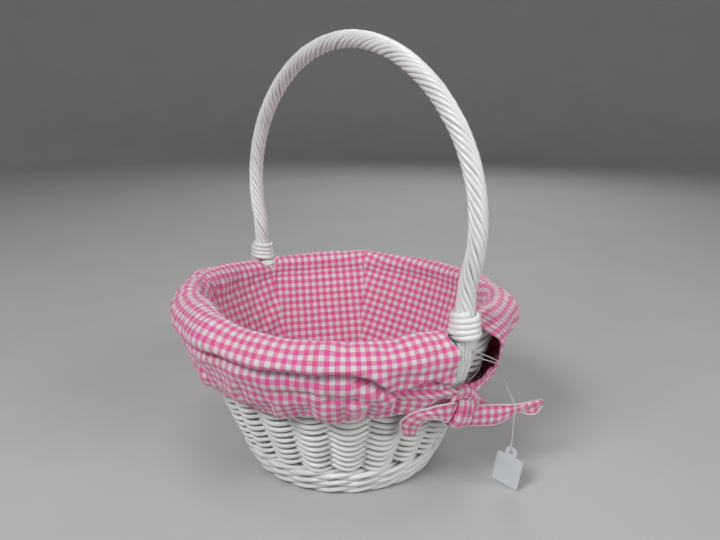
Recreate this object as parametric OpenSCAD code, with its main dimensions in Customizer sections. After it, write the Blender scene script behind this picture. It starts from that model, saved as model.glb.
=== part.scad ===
// Round wicker basket with a roped hoop handle, a gingham liner tied at each foot of the
// handle, and a strung tag. Z is up and the floor is z = 0. The origin is the middle of the
// base, and the handle stands in the XZ plane.

/* [Wicker bowl] */
// Outer radius of the wicker at the floor
base_r = 71.5; // [68:0.5:73]
// How fast the side leans out at the floor, in mm of radius per mm of height
wall_flare = 0.51; // [0.48:0.01:0.52]
// Height of the top of the border
side_h = 130.5; // [128:0.5:132]
// Thickness of the woven side, measured level
weave_t = 9; // [8:0.5:9.5]
// Number of upright stakes
stake_count = 23; // [19:2:25]
// Diameter of a stake
stake_d = 3.6; // [3:0.1:4]
// Number of sticks in each layer of the base cross
cross_sticks = 4; // [4]

/* [Handle] */
// Half the distance between the two feet of the handle
foot_x = 124.8; // [124:0.1:125.4]
// Diameter of the roped handle
rope_d = 12.4; // [11.5:0.1:12.6]
// Diameter of the bare stick inside the roping
core_d = 6.4; // [5:0.1:7]
// Thickness of the cane wrapped around each foot
wrap_d = 4; // [3.6:0.1:4.2]
// Turns of cane in each collar
wrap_turns = 4; // [3:1:4]

/* [Liner] */
// Outer radius of the liner where it rolls over the rim
roll_r = 130; // [129:0.5:132]
// Thickness of the liner cloth with its gathers
cloth_t = 1.4; // [1:0.1:1.6]
// Height of the gathered hem of the skirts
hem_z = 78.5; // [77:0.5:79]
// Width of the tie straps
tie_w = 15; // [12:0.5:16]

/* [Tag] */
// Width of the tag
tag_w = 20; // [16:0.5:22]
// Height of the tag with its rounded tab
tag_h = 32; // [26:0.5:32.5]
// Thickness of the tag card
tag_t = 0.5; // [0.4:0.1:0.8]
// Diameter of the tag's string
string_d = 0.9; // [0.7:0.1:1]

/* [Hidden] */
eps = 0.01;
gap = 0.15;
big = 400;
curve_fn = 96;
fine_fn = 48;

// Side of the bowl: the radius eases off as it rises
wall_curve = 0.00097;
function wall_r(z) = base_r + wall_flare * z - wall_curve * z * z;
wale_h = 22;
weave_top = 118;
side_steps = 5;
function side_z(low, high, i) = low + (high - low) * i / side_steps;

// Base: two layers of sticks crossed in the middle, fanned out inside the weave
base_low = 1.5;
base_top = 9;
base_skin = 0.6;
stick_d = 3;
stick_pitch = 3.3;
cross_half = 8;
base_weave_r = 62;
base_hole_r = 14;
stick_reach = 58.5;
stick_pocket_r = 61;
stick_z = (base_low + base_top) / 2;
stick_fan = 180 / (4 * cross_sticks);
stick_sides = 12;

// Stakes: each starts in the wale, stays inside the side and ends in the border
stake_step = 360 / stake_count;
stake_phase = -4.05;
stake_low = 4;
stake_top = weave_top + 5;
stake_out = 1.7;

// Border around the top of the side
border_r = 6.5;
border_mid_r = 114.5;
border_mid_z = side_h - border_r;

// Handle: five arcs and two straight feet. The shoulder arc joins the top arc at shoulder_a
foot_z = 129;
foot_straight = 22;
waist_bulge = 6.7;
waist_h = 46.5;
waist_a = 2 * atan(waist_bulge / waist_h);
waist_r = waist_h / 2 / sin(waist_a);
shoulder_r = 101.4;
shoulder_a = 51.6;
shoulder_x = foot_x + waist_bulge - shoulder_r;
shoulder_z = foot_z + foot_straight + waist_h;
top_r = shoulder_r + shoulder_x / sin(shoulder_a);
top_z = shoulder_z - (top_r - shoulder_r) * cos(shoulder_a);

// Canes from the roping that run side by side down the outside of the weave under each collar
leg_cane_d = 3;
leg_cane_count = 4;
leg_pitch = 3.1;
leg_line = [[124.4, 128.8], [124.5, 115], [123.8, 104], [118.5, 96], [112.8, 90.5]];
seat_d = 21.2;
handle_sides = 16;
cane_sides = 12;

// Liner: bowl inside the weave, crest over the border, and skirts outside
lining_gap = 0.4;
crest_a = 66;
crest_r = border_mid_r + 4;
crest_z = side_h + lining_gap + cloth_t;
skirt_low = 81.8;
hem_r = 3;
hem_mid_r = wall_r(hem_z) + hem_r + 0.5;
elastic_w = 4;
elastic_t = 1;
back_hem_a = 10.6;
front_hem_a = -1.6;

// Slit of the skirts at a foot of the handle, as seen along X
slit_left = -6.5;
slit_right = 52;

// Ties
knot_half_t = 4.5;
knot_mid_r = hem_mid_r + hem_r + knot_half_t + 0.9;
knot_top = hem_z + 1.5;
knot_low = hem_z - 12.5;
knot_span = [0.6, 10.8];
tail_t = 1.5;
front_tail_r = hem_mid_r + hem_r + 1.9;
front_tail_z = 61;
front_tail_span = [-17, -0.6];
back_tail_from = [114.6, 20.5];
back_tail_a = 73.4;
back_tail_outline = [
    [3, 70], [20, 68], [38, 64], [52, 62], [66, 61], [69, 57.5],
    [62, 52.5], [53, 54], [42, 54.5], [24, 53.5], [3, 56]
];

// Tag and string. The string leaves the edge of the skirt, passes the tail and holds the tag
hole_at = [127, 53.7, 31];
hole_d = 3;
tag_turn = 13;
tag_roll = 8;
tab_r = 4.5;
shoulder_drop = 2.2;
tag_corner = 1.4;
string_sides = 8;
hang_at = [108.4, 57.2, 89.5];
loop_off = 1.05;
loop_y = [-sin(tag_turn), cos(tag_turn), 0];
string_route = [
    hang_at, [110.5, 57, 86.5], [114, 56.2, 81.5], [118.2, 55.2, 76.5], [123, 54.5, 71.5],
    [126.9, 54, 66.5], [127.3, 53.8, 61.5], [127.2, 53.7, 56], [127, 53.7, 50],
    [127, 53.7, 45], [127, 53.7, 40.5],
    hole_at + [0, 0, 7] - loop_y * 0.5, hole_at + [0, 0, 5] - loop_y * loop_off,
    hole_at + [0, 0, 2.2] - loop_y * loop_off, hole_at + [0, 0, 0.6] - loop_y * 0.75,
    hole_at, hole_at + [0, 0, 0.6] + loop_y * 0.75, hole_at + [0, 0, 2.2] + loop_y * loop_off,
    hole_at + [0, 0, 5] + loop_y * loop_off, hole_at + [0, 0, 8] + loop_y * loop_off
];
anchor_route = [
    [108, 57.6, 90.4], [110.4, 52.3, 93], [112.2, 44, 97.2], [114, 35, 101.6], [115.6, 26, 106],
    [117.2, 20.6, 109], [116.9, 18.4, 110.8], [115.9, 19.2, 112.2], [115.4, 22, 111.4],
    [115, 29, 108], [113.6, 38, 103.2], [112.2, 46, 98.8], [110.9, 51.8, 95.2], [108.2, 57, 91.7]
];

// ---- shared shapes ----

// Closed shell of revolution that follows the side, from radius wall_r + inner to wall_r + outer
module side_shell(low, high, inner, outer) {
    rotate_extrude($fn = curve_fn)
        polygon(concat(
            [for (i = [0 : side_steps]) [wall_r(side_z(low, high, i)) + outer, side_z(low, high, i)]],
            [for (i = [side_steps : -1 : 0]) [wall_r(side_z(low, high, i)) + inner, side_z(low, high, i)]]
        ));
}

// The same piece, mirrored, at the foot on the other side
module other_foot() {
    mirror([1, 0, 0]) children();
}

// Rings of points around a route. Each ring stays square to the route, with one side facing up_dir
function along(route, i) =
    let (a = route[max(i - 1, 0)], b = route[min(i + 1, len(route) - 1)]) (b - a) / norm(b - a);
function ring(route, i, r, sides, up_dir) =
    let (t = along(route, i), s = cross(t, up_dir) / norm(cross(t, up_dir)), u = cross(s, t))
    [for (k = [0 : sides - 1])
        route[i] + r * (cos(360 * k / sides) * s + sin(360 * k / sides) * u)];
function rings(route, r, sides, up_dir) =
    [for (i = [0 : len(route) - 1]) each ring(route, i, r, sides, up_dir)];
function wall_faces(count, n, first, flip) =
    [for (i = [0 : count - 2]) for (k = [0 : n - 1])
        let (a = first + i * n + k, b = first + (i + 1) * n + k,
             c = first + (i + 1) * n + (k + 1) % n, d = first + i * n + (k + 1) % n)
        flip ? [d, c, b, a] : [a, b, c, d]];

// Solid tube swept along a route
module swept_tube(route, d, sides, up_dir) {
    count = len(route);
    polyhedron(
        points = rings(route, d / 2, sides, up_dir),
        faces = concat(
            [[for (k = [0 : sides - 1]) k]],
            wall_faces(count, sides, 0, false),
            [[for (k = [sides - 1 : -1 : 0]) (count - 1) * sides + k]]
        ),
        convexity = 6
    );
}

// Hollow tube swept along a route
module swept_pipe(route, d, inner_d, sides, up_dir) {
    count = len(route);
    inner = count * sides;
    last = (count - 1) * sides;
    polyhedron(
        points = concat(rings(route, d / 2, sides, up_dir), rings(route, inner_d / 2, sides, up_dir)),
        faces = concat(
            wall_faces(count, sides, 0, false),
            wall_faces(count, sides, inner, true),
            [for (k = [0 : sides - 1]) [inner + k, k, (k + 1) % sides, inner + (k + 1) % sides]],
            [for (k = [0 : sides - 1])
                [last + k, inner + last + k, inner + last + (k + 1) % sides, last + (k + 1) % sides]]
        ),
        convexity = 6
    );
}

// ---- base ----

function fan_a(i) = stick_fan * (2 * (i % cross_sticks) - cross_sticks + 1);
function stick_off(i) = stick_pitch * ((i % cross_sticks) - (cross_sticks - 1) / 2);

// One stick of the cross: straight through the middle, with its two ends fanned out
function fanned_end(i, reach, off, z, side) =
    let (a = fan_a(i), t = (reach - cross_half) / (stick_reach - cross_half))
    [side * (cross_half + (reach - cross_half) * cos(a)), off + (reach - cross_half) * sin(a),
     z + (stick_z - z) * t];
module base_stick(i) {
    k = i - 1;
    off = stick_off(k);
    z = stick_z + (k < cross_sticks ? -stick_d / 2 : stick_d / 2);
    route = [
        for (reach = [stick_reach, 40, 20, 11]) fanned_end(k, reach, off, z, -1),
        [-5, off, z], [5, off, z],
        for (reach = [11, 20, 40, stick_reach]) fanned_end(k, reach, off, z, 1)
    ];
    color("white")
        rotate([0, 0, k < cross_sticks ? 0 : 90])
            swept_tube(route, stick_d, stick_sides, [0, 0, 1]);
}

// Woven disc with a flat pocket inside, where the fanned sticks lie
module base_weave() {
    low = base_low + base_skin;
    high = base_top - base_skin;
    color("white")
        rotate_extrude($fn = curve_fn)
            polygon([
                [base_hole_r, base_low], [base_weave_r, base_low], [base_weave_r, base_top],
                [base_hole_r, base_top], [base_hole_r, high], [stick_pocket_r, high],
                [stick_pocket_r, low], [base_hole_r, low]
            ]);
}

// ---- side ----

function stake_r(z) = wall_r(z) - weave_t / 2;

// A stake lies along the chord of the curved side
module stake_shape(i, d) {
    from = [stake_r(stake_low) + stake_out, stake_low];
    to = [stake_r(stake_top) + stake_out, stake_top];
    lean = atan2(to[0] - from[0], to[1] - from[1]);
    rotate([0, 0, stake_phase + i * stake_step])
        translate([from[0], 0, from[1]])
            rotate([0, lean, 0])
                cylinder(h = norm(to - from), d = d, $fn = fine_fn);
}

module stake(i) {
    color("white") stake_shape(i, stake_d);
}

module stake_channels() {
    for (i = [1 : stake_count]) stake_shape(i, stake_d + 2 * gap);
}

module bottom_wale() {
    color("white")
        difference() {
            side_shell(0, wale_h, -weave_t, 0);
            stake_channels();
        }
}

module side_weave() {
    color("white")
        difference() {
            side_shell(wale_h, weave_top, -weave_t, 0);
            stake_channels();
        }
}

module border() {
    color("white")
        difference() {
            rotate_extrude($fn = curve_fn)
                difference() {
                    translate([border_mid_r, border_mid_z]) circle(r = border_r, $fn = fine_fn);
                    translate([border_mid_r - 2 * border_r, weave_top - 2 * border_r])
                        square([4 * border_r, 2 * border_r]);
                }
            stake_channels();
            collar_seats();
        }
}

// ---- handle ----

// Points of an arc in the XZ plane, between two angles above the X axis
function upright_arc(x, z, r, from_a, to_a, steps) =
    [for (i = [1 : steps]) let (a = from_a + (to_a - from_a) * i / steps)
        [x + r * cos(a), 0, z + r * sin(a)]];

// Right half of the hoop, from the top of the straight foot up to the crown
half_hoop = concat(
    [[foot_x, 0, foot_z + foot_straight]],
    upright_arc(foot_x + waist_r, foot_z + foot_straight, waist_r, 180, 180 - waist_a, 3),
    upright_arc(shoulder_x + shoulder_r - waist_r, shoulder_z, waist_r, -waist_a, 0, 3),
    upright_arc(shoulder_x, shoulder_z, shoulder_r, 0, 90 - shoulder_a, 6),
    upright_arc(0, top_z, top_r, 90 - shoulder_a, 90, 9)
);
function mirrored(route) = [for (i = [len(route) - 1 : -1 : 0]) [-route[i][0], route[i][1], route[i][2]]];
function whole_hoop(foot) =
    let (half = concat(foot, half_hoop), count = len(half))
    concat(half, mirrored([for (i = [0 : count - 2]) half[i]]));

// Room for the collars at both feet
module collar_seats() {
    for (side = [-1, 1])
        translate([side * foot_x, 0, foot_z - gap])
            cylinder(h = foot_straight, d = seat_d, $fn = fine_fn);
}

// The stick inside the roping
module handle_core() {
    color("white")
        swept_tube(whole_hoop([[foot_x, 0, foot_z]]), core_d, handle_sides, [0, 1, 0]);
}

module handle_roping() {
    color("white")
        swept_pipe(whole_hoop([[foot_x, 0, foot_z]]), rope_d, core_d + gap, handle_sides, [0, 1, 0]);
}

module collar() {
    color("white")
        translate([foot_x, 0, foot_z])
            difference() {
                rotate_extrude($fn = fine_fn)
                    for (i = [0 : wrap_turns - 1])
                        translate([rope_d / 2 + wrap_d / 2 - 0.1, wrap_d * (0.98 * i + 0.5)])
                            circle(d = wrap_d, $fn = fine_fn);
                translate([0, 0, -eps])
                    cylinder(h = wrap_d * (wrap_turns + 1), d = rope_d, $fn = fine_fn);
            }
}

// One cane down over the border, from the collar until it meets the weave
module leg_cane(k) {
    y = leg_pitch * (k - (leg_cane_count - 1) / 2);
    swept_tube([for (p = leg_line) [p[0], y, p[1]]], leg_cane_d, cane_sides, [0, 1, 0]);
}

module leg_canes() {
    color("white") {
        for (k = [0 : leg_cane_count - 1]) leg_cane(k);
    }
}

// ---- liner ----

// Points around the middle of the border, from the inside of the bowl up to the crest
function over_border(r, from_a, to_a) =
    [for (i = [0 : 8]) let (a = from_a + (to_a - from_a) * i / 8)
        [border_mid_r + r * cos(a), border_mid_z + r * sin(a)]];
function inside_side(inset) =
    [for (i = [0 : side_steps])
        let (z = side_z(base_top + lining_gap, weave_top, i)) [wall_r(z) - inset, z]];
function reversed(list) = [for (i = [len(list) - 1 : -1 : 0]) list[i]];

module liner_bowl() {
    near = concat(inside_side(weave_t + lining_gap), over_border(border_r + lining_gap, 190, crest_a));
    far = concat(inside_side(weave_t + lining_gap + cloth_t),
                 over_border(border_r + lining_gap + cloth_t, 190, crest_a));
    color("pink")
        difference() {
            rotate_extrude($fn = curve_fn) polygon(concat(near, reversed(far)));
            collar_seats();
        }
}

module liner_bottom() {
    r = wall_r(base_top) - weave_t - lining_gap - cloth_t - gap;
    color("pink") translate([0, 0, base_top + lining_gap]) cylinder(h = cloth_t, r = r, $fn = curve_fn);
}

// Outer surface of the skirts, from the crest down to the hem
skirt_outline = [
    [crest_r + 0.4, crest_z], [roll_r - 4.5, crest_z - 1.6], [roll_r - 1.3, crest_z - 5],
    [roll_r, crest_z - 12], [roll_r - 1.5, 114], [roll_r - 4.2, 108], [roll_r - 7, 100],
    [roll_r - 10, 91], [roll_r - 14, 84.5], [hem_mid_r + 3.4, skirt_low]
];

// The same outline moved in by the thickness of the cloth
function outline_normal(i) =
    let (a = skirt_outline[max(i - 1, 0)], b = skirt_outline[min(i + 1, len(skirt_outline) - 1)],
         d = (b - a) / norm(b - a))
    [-d[1], d[0]];

module skirt_ring() {
    inner = [for (i = [0 : len(skirt_outline) - 1]) skirt_outline[i] - cloth_t * outline_normal(i)];
    rotate_extrude($fn = curve_fn) polygon(concat(skirt_outline, reversed(inner)));
}

module slit() {
    translate([80, 0, 0])
        rotate([90, 0, 90])
            linear_extrude(height = 80)
                polygon([[slit_left, 150], [12, 150], [15, 132], [36, 117], [slit_right, 95],
                         [slit_right, 70], [slit_left, 70]]);
}

module half_space(side) {
    translate([-big / 2, side > 0 ? 0 : -big, 0]) cube([big, big, big / 2]);
}

module skirt(side) {
    color("hotpink")
        intersection() {
            difference() {
                skirt_ring();
                slit();
                other_foot() slit();
                collar_seats();
            }
            half_space(side);
        }
}

// The hem runs round the side from one foot to the other: a tube, or the flat elastic in it
module hem_arc(side, flat) {
    from = side > 0 ? back_hem_a : 180 - front_hem_a;
    span = side > 0 ? 180 - 2 * back_hem_a : 180 + 2 * front_hem_a;
    rotate([0, 0, from])
        rotate_extrude(angle = span, $fn = curve_fn)
            translate([hem_mid_r, hem_z])
                if (flat) translate([-elastic_t / 2, -elastic_w / 2]) square([elastic_t, elastic_w]);
                else circle(r = hem_r, $fn = fine_fn);
}

module casing(side) {
    color("hotpink")
        difference() {
            hem_arc(side, false);
            hem_arc(side, true);
        }
}

module elastic(side) {
    color("white") hem_arc(side, true);
}

// ---- ties ----

module knot() {
    color("pink")
        rotate([0, 0, knot_span[0]])
            rotate_extrude(angle = knot_span[1] - knot_span[0], $fn = curve_fn)
                translate([knot_mid_r, 0]) {
                    translate([-knot_half_t, knot_low])
                        square([2 * knot_half_t, knot_top - knot_low]);
                    translate([0, knot_low]) circle(r = knot_half_t, $fn = fine_fn);
                    translate([0, knot_top]) circle(r = knot_half_t, $fn = fine_fn);
                }
}

module front_tail() {
    color("pink")
        rotate([0, 0, front_tail_span[0]])
            rotate_extrude(angle = front_tail_span[1] - front_tail_span[0], $fn = curve_fn)
                translate([front_tail_r, front_tail_z]) square([tail_t, tie_w]);
}

module back_tail() {
    color("pink")
        translate([back_tail_from[0], back_tail_from[1], 0])
            rotate([90, 0, back_tail_a])
                linear_extrude(height = tail_t) polygon(back_tail_outline);
}

// ---- tag ----

module string_anchor() {
    color("whitesmoke") swept_tube(anchor_route, string_d, string_sides, [1, 0.3, 0]);
}

module tag_string() {
    color("whitesmoke") swept_tube(string_route, string_d, string_sides, [1, 0.3, 0]);
}

module tag_outline() {
    body_h = tag_h - tab_r;
    translate([0, tab_r - body_h - shoulder_drop]) {
        for (x = [-1, 1])
            translate([x * (tag_w / 2 - tag_corner), tag_corner]) circle(r = tag_corner, $fn = fine_fn);
        translate([-tag_w / 2, tag_corner]) square([tag_w, body_h - 2 * shoulder_drop]);
        translate([-tag_w / 2 + tag_corner, 0]) square([tag_w - 2 * tag_corner, 2 * tag_corner]);
    }
    circle(r = tab_r, $fn = fine_fn);
}

module tag() {
    color("white")
        translate(hole_at - [0, 0, hole_d / 2 - string_d / 2 - 0.1])
            rotate([90, 0, tag_turn])
                rotate([0, 0, -tag_roll])
                    translate([0, 0, -tag_t / 2])
                        difference() {
                            linear_extrude(height = tag_t) tag_outline();
                            translate([0, 0, -1]) cylinder(h = 2, d = hole_d, $fn = fine_fn);
                        }
}

for (i = [1 : 2 * cross_sticks])
    base_stick(i);
base_weave();
bottom_wale();
for (i = [1 : stake_count])
    stake(i);
side_weave();
border();
handle_core();
handle_roping();
collar();  // collar_right
other_foot() collar();  // collar_left
leg_canes();  // leg_canes_right
other_foot() leg_canes();  // leg_canes_left
liner_bowl();
liner_bottom();
skirt(-1);  // skirt_front
skirt(1);  // skirt_back
casing(-1);  // casing_front
casing(1);  // casing_back
elastic(-1);  // elastic_front
elastic(1);  // elastic_back
knot();  // knot_right
other_foot() knot();  // knot_left
front_tail();  // front_tail_right
back_tail();  // back_tail_right
other_foot() front_tail();  // front_tail_left
other_foot() back_tail();  // back_tail_left
string_anchor();
tag_string();
tag();
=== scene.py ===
import math

import bmesh
import bpy
import numpy as np
from mathutils import Matrix, Quaternion, Vector, noise


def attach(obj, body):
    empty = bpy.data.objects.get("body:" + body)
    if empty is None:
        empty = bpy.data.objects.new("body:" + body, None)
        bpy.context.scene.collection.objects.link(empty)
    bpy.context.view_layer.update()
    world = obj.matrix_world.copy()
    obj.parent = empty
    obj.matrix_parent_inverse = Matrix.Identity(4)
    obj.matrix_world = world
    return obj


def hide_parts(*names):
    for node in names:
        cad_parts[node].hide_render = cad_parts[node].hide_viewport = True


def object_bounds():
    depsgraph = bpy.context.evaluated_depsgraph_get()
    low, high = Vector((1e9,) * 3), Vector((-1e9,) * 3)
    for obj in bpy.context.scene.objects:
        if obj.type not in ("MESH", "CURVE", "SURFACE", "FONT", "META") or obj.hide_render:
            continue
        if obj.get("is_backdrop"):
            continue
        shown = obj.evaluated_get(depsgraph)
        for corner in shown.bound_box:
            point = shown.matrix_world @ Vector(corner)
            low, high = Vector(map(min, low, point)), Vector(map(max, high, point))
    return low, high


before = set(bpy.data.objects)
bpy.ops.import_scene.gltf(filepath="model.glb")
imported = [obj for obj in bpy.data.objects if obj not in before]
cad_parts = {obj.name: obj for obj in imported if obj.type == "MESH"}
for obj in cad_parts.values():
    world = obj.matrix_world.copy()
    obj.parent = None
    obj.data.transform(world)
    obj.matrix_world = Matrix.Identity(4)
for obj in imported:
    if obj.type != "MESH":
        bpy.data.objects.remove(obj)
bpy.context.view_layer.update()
rng = np.random.default_rng(41)
MM = 0.001  # all shapes are worked out in mm and made in metres
TAU = 2 * math.pi
CURVE_STEPS = 16


def new_object(name, data):
    obj = bpy.data.objects.new(name, data)
    bpy.context.scene.collection.objects.link(obj)
    return obj


# ---- camera

CAMERA_AT = Vector((0.38139, -0.28703, 0.27620))
CAMERA_LOOK = Vector((-0.75609, 0.59947, -0.26263))
CAMERA_ROLL = 0.0061
CAMERA_LENS, CAMERA_SENSOR = 32.245, 36
CAMERA_NEAR = 0.01

camera_data = bpy.data.cameras.new("camera")
camera_data.sensor_width = CAMERA_SENSOR
camera_data.lens = CAMERA_LENS
camera_data.clip_start = CAMERA_NEAR
camera = new_object("camera", camera_data)
camera.location = CAMERA_AT
camera.rotation_mode = "QUATERNION"
camera.rotation_quaternion = (CAMERA_LOOK.to_track_quat("-Z", "Y")
                              @ Quaternion((0, 0, 1), CAMERA_ROLL))
bpy.context.scene.camera = camera
bpy.context.scene.view_settings.view_transform = "Standard"

# ---- mesh helpers


class Bundle:
    """Vertices (in mm), faces and face-corner UVs of one piece, gathered from many shapes."""

    def __init__(self):
        self.verts, self.faces, self.uvs = [], [], []
        self.count = 0

    def add(self, verts, faces, uvs):
        base = self.count
        self.verts.append(np.asarray(verts, float))
        self.faces.extend([tuple(base + i for i in f) for f in faces])
        self.uvs.extend(uvs)
        self.count += len(verts)

    def make(self, name, material, weld=0.0):
        mesh = bpy.data.meshes.new(name)
        verts = np.concatenate(self.verts) * MM
        mesh.from_pydata(verts.tolist(), [], self.faces)
        layer = mesh.uv_layers.new(name="cloth_uv")
        flat = np.array([c for f in self.uvs for c in f], np.float32).ravel()
        layer.data.foreach_set("uv", flat)
        mesh.materials.append(material)
        mesh.polygons.foreach_set("use_smooth", [True] * len(mesh.polygons))
        if weld:
            bm = bmesh.new()
            bm.from_mesh(mesh)
            bmesh.ops.remove_doubles(bm, verts=bm.verts, dist=weld * MM)
            bm.to_mesh(mesh)
            bm.free()
        mesh.update()
        return new_object(name, mesh)


def unit(v):
    return v / np.maximum(np.linalg.norm(v, axis=-1, keepdims=True), 1e-9)


def lengths_along(path):
    steps = np.linalg.norm(np.diff(path, axis=0), axis=1)
    return np.concatenate([[0], np.cumsum(steps)])


def tube(bundle, path, radius, sides=8, closed=False, up=(0, 0, 1), flat=1.0):
    """A tube along path. flat squashes it along the up direction; UV is (turn, length in mm)."""
    path = np.asarray(path, float)
    n = len(path)
    if closed:
        tangent = unit(np.roll(path, -1, 0) - np.roll(path, 1, 0))
    else:
        tangent = unit(np.gradient(path, axis=0))
    up = np.broadcast_to(np.asarray(up, float), path.shape)
    side = unit(np.cross(tangent, up))
    over = np.cross(side, tangent)
    radius = np.broadcast_to(np.asarray(radius, float), (n,))[:, None]
    flat = np.broadcast_to(np.asarray(flat, float), (n,))[:, None]
    length = lengths_along(np.concatenate([path, path[:1]]))
    angles = TAU * np.arange(sides) / sides
    verts = np.stack(
        [path + radius * (math.cos(a) * side + math.sin(a) * flat * over) for a in angles], axis=1
    ).reshape(-1, 3)
    faces, uvs = [], []
    for i in range(n if closed else n - 1):
        j = (i + 1) % n
        for k in range(sides):
            m = (k + 1) % sides
            faces.append((i * sides + k, i * sides + m, j * sides + m, j * sides + k))
            u0, u1 = k / sides, (k + 1) / sides
            v0, v1 = length[i], length[i + 1]
            uvs.append(((u0, v0), (u1, v0), (u1, v1), (u0, v1)))
    if not closed:
        faces.append(tuple(range(sides - 1, -1, -1)))
        faces.append(tuple((n - 1) * sides + k for k in range(sides)))
        uvs.append(((0, 0),) * sides)
        uvs.append(((0, length[n - 1]),) * sides)
    bundle.add(verts, faces, uvs)


def quads(uv, first=0, last=None, flip=False):
    """Faces of a grid of points between two of its rows, with the UVs given for the grid."""
    rows, cols = uv.shape[:2]
    corners = ((0, 0), (1, 0), (1, 1), (0, 1)) if flip else ((0, 0), (0, 1), (1, 1), (1, 0))
    cells = [[(i + down, j + on) for down, on in corners]
             for i in range(first, rows - 1 if last is None else last) for j in range(cols - 1)]
    return ([tuple(i * cols + j for i, j in cell) for cell in cells],
            [tuple(tuple(uv[i, j]) for i, j in cell) for cell in cells])


def wander(count, every, amount, closed=False):
    """Smooth seeded drift: one random value every few samples, joined by a curve."""
    knots = max(4, int(count / every))
    values = rng.uniform(-amount, amount, knots + 1)
    if closed:
        values[-1] = values[0]
    t = np.linspace(0, knots, count, endpoint=not closed)
    i = np.minimum(t.astype(int), knots - 1)
    f = t - i
    f = f * f * (3 - 2 * f)
    return values[i] * (1 - f) + values[i + 1] * f


def grid_noise(*axes, seed=0.0):
    """Noise at each point of up to three equal arrays of coordinates."""
    flat = [np.ravel(a) for a in axes]
    while len(flat) < 3:
        flat.append(np.zeros_like(flat[0]))
    out = [noise.noise(Vector((x + seed, y + seed * 1.7, z + seed * 0.3)))
           for x, y, z in zip(*flat)]
    return np.array(out).reshape(np.shape(axes[0]))


def bump(x, centre, width):
    """A soft hill of height 1."""
    return np.exp(-(((x - centre) / width) ** 2))


def ease(x, low, high):
    """0 up to low, 1 from high on, and a smooth step between."""
    t = np.clip((x - low) / (high - low), 0, 1)
    return t * t * (3 - 2 * t)


def curve_through(points):
    """A Catmull-Rom curve, CURVE_STEPS points to a stretch, and the length along it at each."""
    p = np.asarray(points, float)
    p = np.concatenate([[2 * p[0] - p[1]], p, [2 * p[-1] - p[-2]]])
    out = []
    for a, b, c, d in zip(p, p[1:], p[2:], p[3:]):
        for t in np.linspace(0, 1, CURVE_STEPS, endpoint=False):
            out.append(0.5 * (2 * b + (c - a) * t + (2 * a - 5 * b + 4 * c - d) * t ** 2
                              + (3 * b - a - 3 * c + d) * t ** 3))
    out = np.array(out + [p[-2]])
    return out, lengths_along(out)


def sample_curve(curve, lengths, at):
    return np.stack([np.interp(at, lengths, column) for column in curve.T], axis=1)


def smooth_line(points, samples):
    """Points evenly spaced along the curve through the given points, and their lengths along it."""
    curve, lengths = curve_through(points)
    even = np.linspace(0, lengths[-1], samples)
    return sample_curve(curve, lengths, even), even


def polar(radius, degrees, z):
    """Points round the basket's axis."""
    a = np.radians(degrees)
    return np.stack(np.broadcast_arrays(radius * np.cos(a), radius * np.sin(a), z), axis=-1)


# ---- materials


class Shader:
    """Shorthand for building one node material."""

    def __init__(self, name):
        self.material = bpy.data.materials.new(name)
        self.material.use_nodes = True
        self.tree = self.material.node_tree
        self.bsdf = self.tree.nodes["Principled BSDF"]
        where = self.node("ShaderNodeTexCoord")
        self.uv, self.spot = where.outputs["UV"], where.outputs["Object"]

    def node(self, kind):
        return self.tree.nodes.new(kind)

    def feed(self, socket, value):
        """Link another node's output to an input, or set the input to a plain value."""
        if isinstance(value, bpy.types.NodeSocket):
            self.tree.links.new(value, socket)
        else:
            socket.default_value = (*value, 1) if socket.type == "RGBA" else value

    def fill(self, node, **values):
        """Feed a node's inputs by their names: coat_weight=0.25 sets Coat Weight."""
        for socket in node.inputs:
            key = socket.name.lower().replace(" ", "_")
            if key in values:
                self.feed(socket, values[key])
        return node

    def surface(self, **values):
        self.fill(self.bsdf, **values)

    def math(self, operation, a, b=0.0, clamp=False):
        n = self.node("ShaderNodeMath")
        n.operation, n.use_clamp = operation, clamp
        self.feed(n.inputs[0], a)
        self.feed(n.inputs[1], b)
        return n.outputs[0]

    def total(self, a, of_a, b, of_b, clamp=False):
        """Two values, each times its weight, added."""
        return self.math("ADD", self.math("MULTIPLY", a, of_a), self.math("MULTIPLY", b, of_b),
                         clamp)

    def noise(self, vector, scale, detail=2.0, rough=0.5):
        n = self.fill(self.node("ShaderNodeTexNoise"), vector=vector, scale=scale, detail=detail,
                      roughness=rough)
        return n.outputs["Fac"]

    def ramp(self, fac, stops):
        n = self.node("ShaderNodeValToRGB")
        r = n.color_ramp
        while len(r.elements) < len(stops):
            r.elements.new(0.5)
        for e, (pos, colour) in zip(r.elements, stops):
            e.position = pos
            e.color = (*colour, 1)
        self.feed(n.inputs["Fac"], fac)
        return n.outputs["Color"]

    def scale(self, vector, factors):
        n = self.node("ShaderNodeVectorMath")
        n.operation = "MULTIPLY"
        self.feed(n.inputs[0], vector)
        self.feed(n.inputs[1], factors)
        return n.outputs[0]

    def mix(self, fac, a, b, blend="MIX"):
        n = self.node("ShaderNodeMix")
        n.data_type, n.blend_type = "RGBA", blend
        for index, value in ((0, fac), (6, a), (7, b)):
            self.feed(n.inputs[index], value)
        return n.outputs[2]

    def bump(self, height, strength, distance):
        n = self.fill(self.node("ShaderNodeBump"), height=height, strength=strength,
                      distance=distance)
        self.surface(normal=n.outputs["Normal"])


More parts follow.
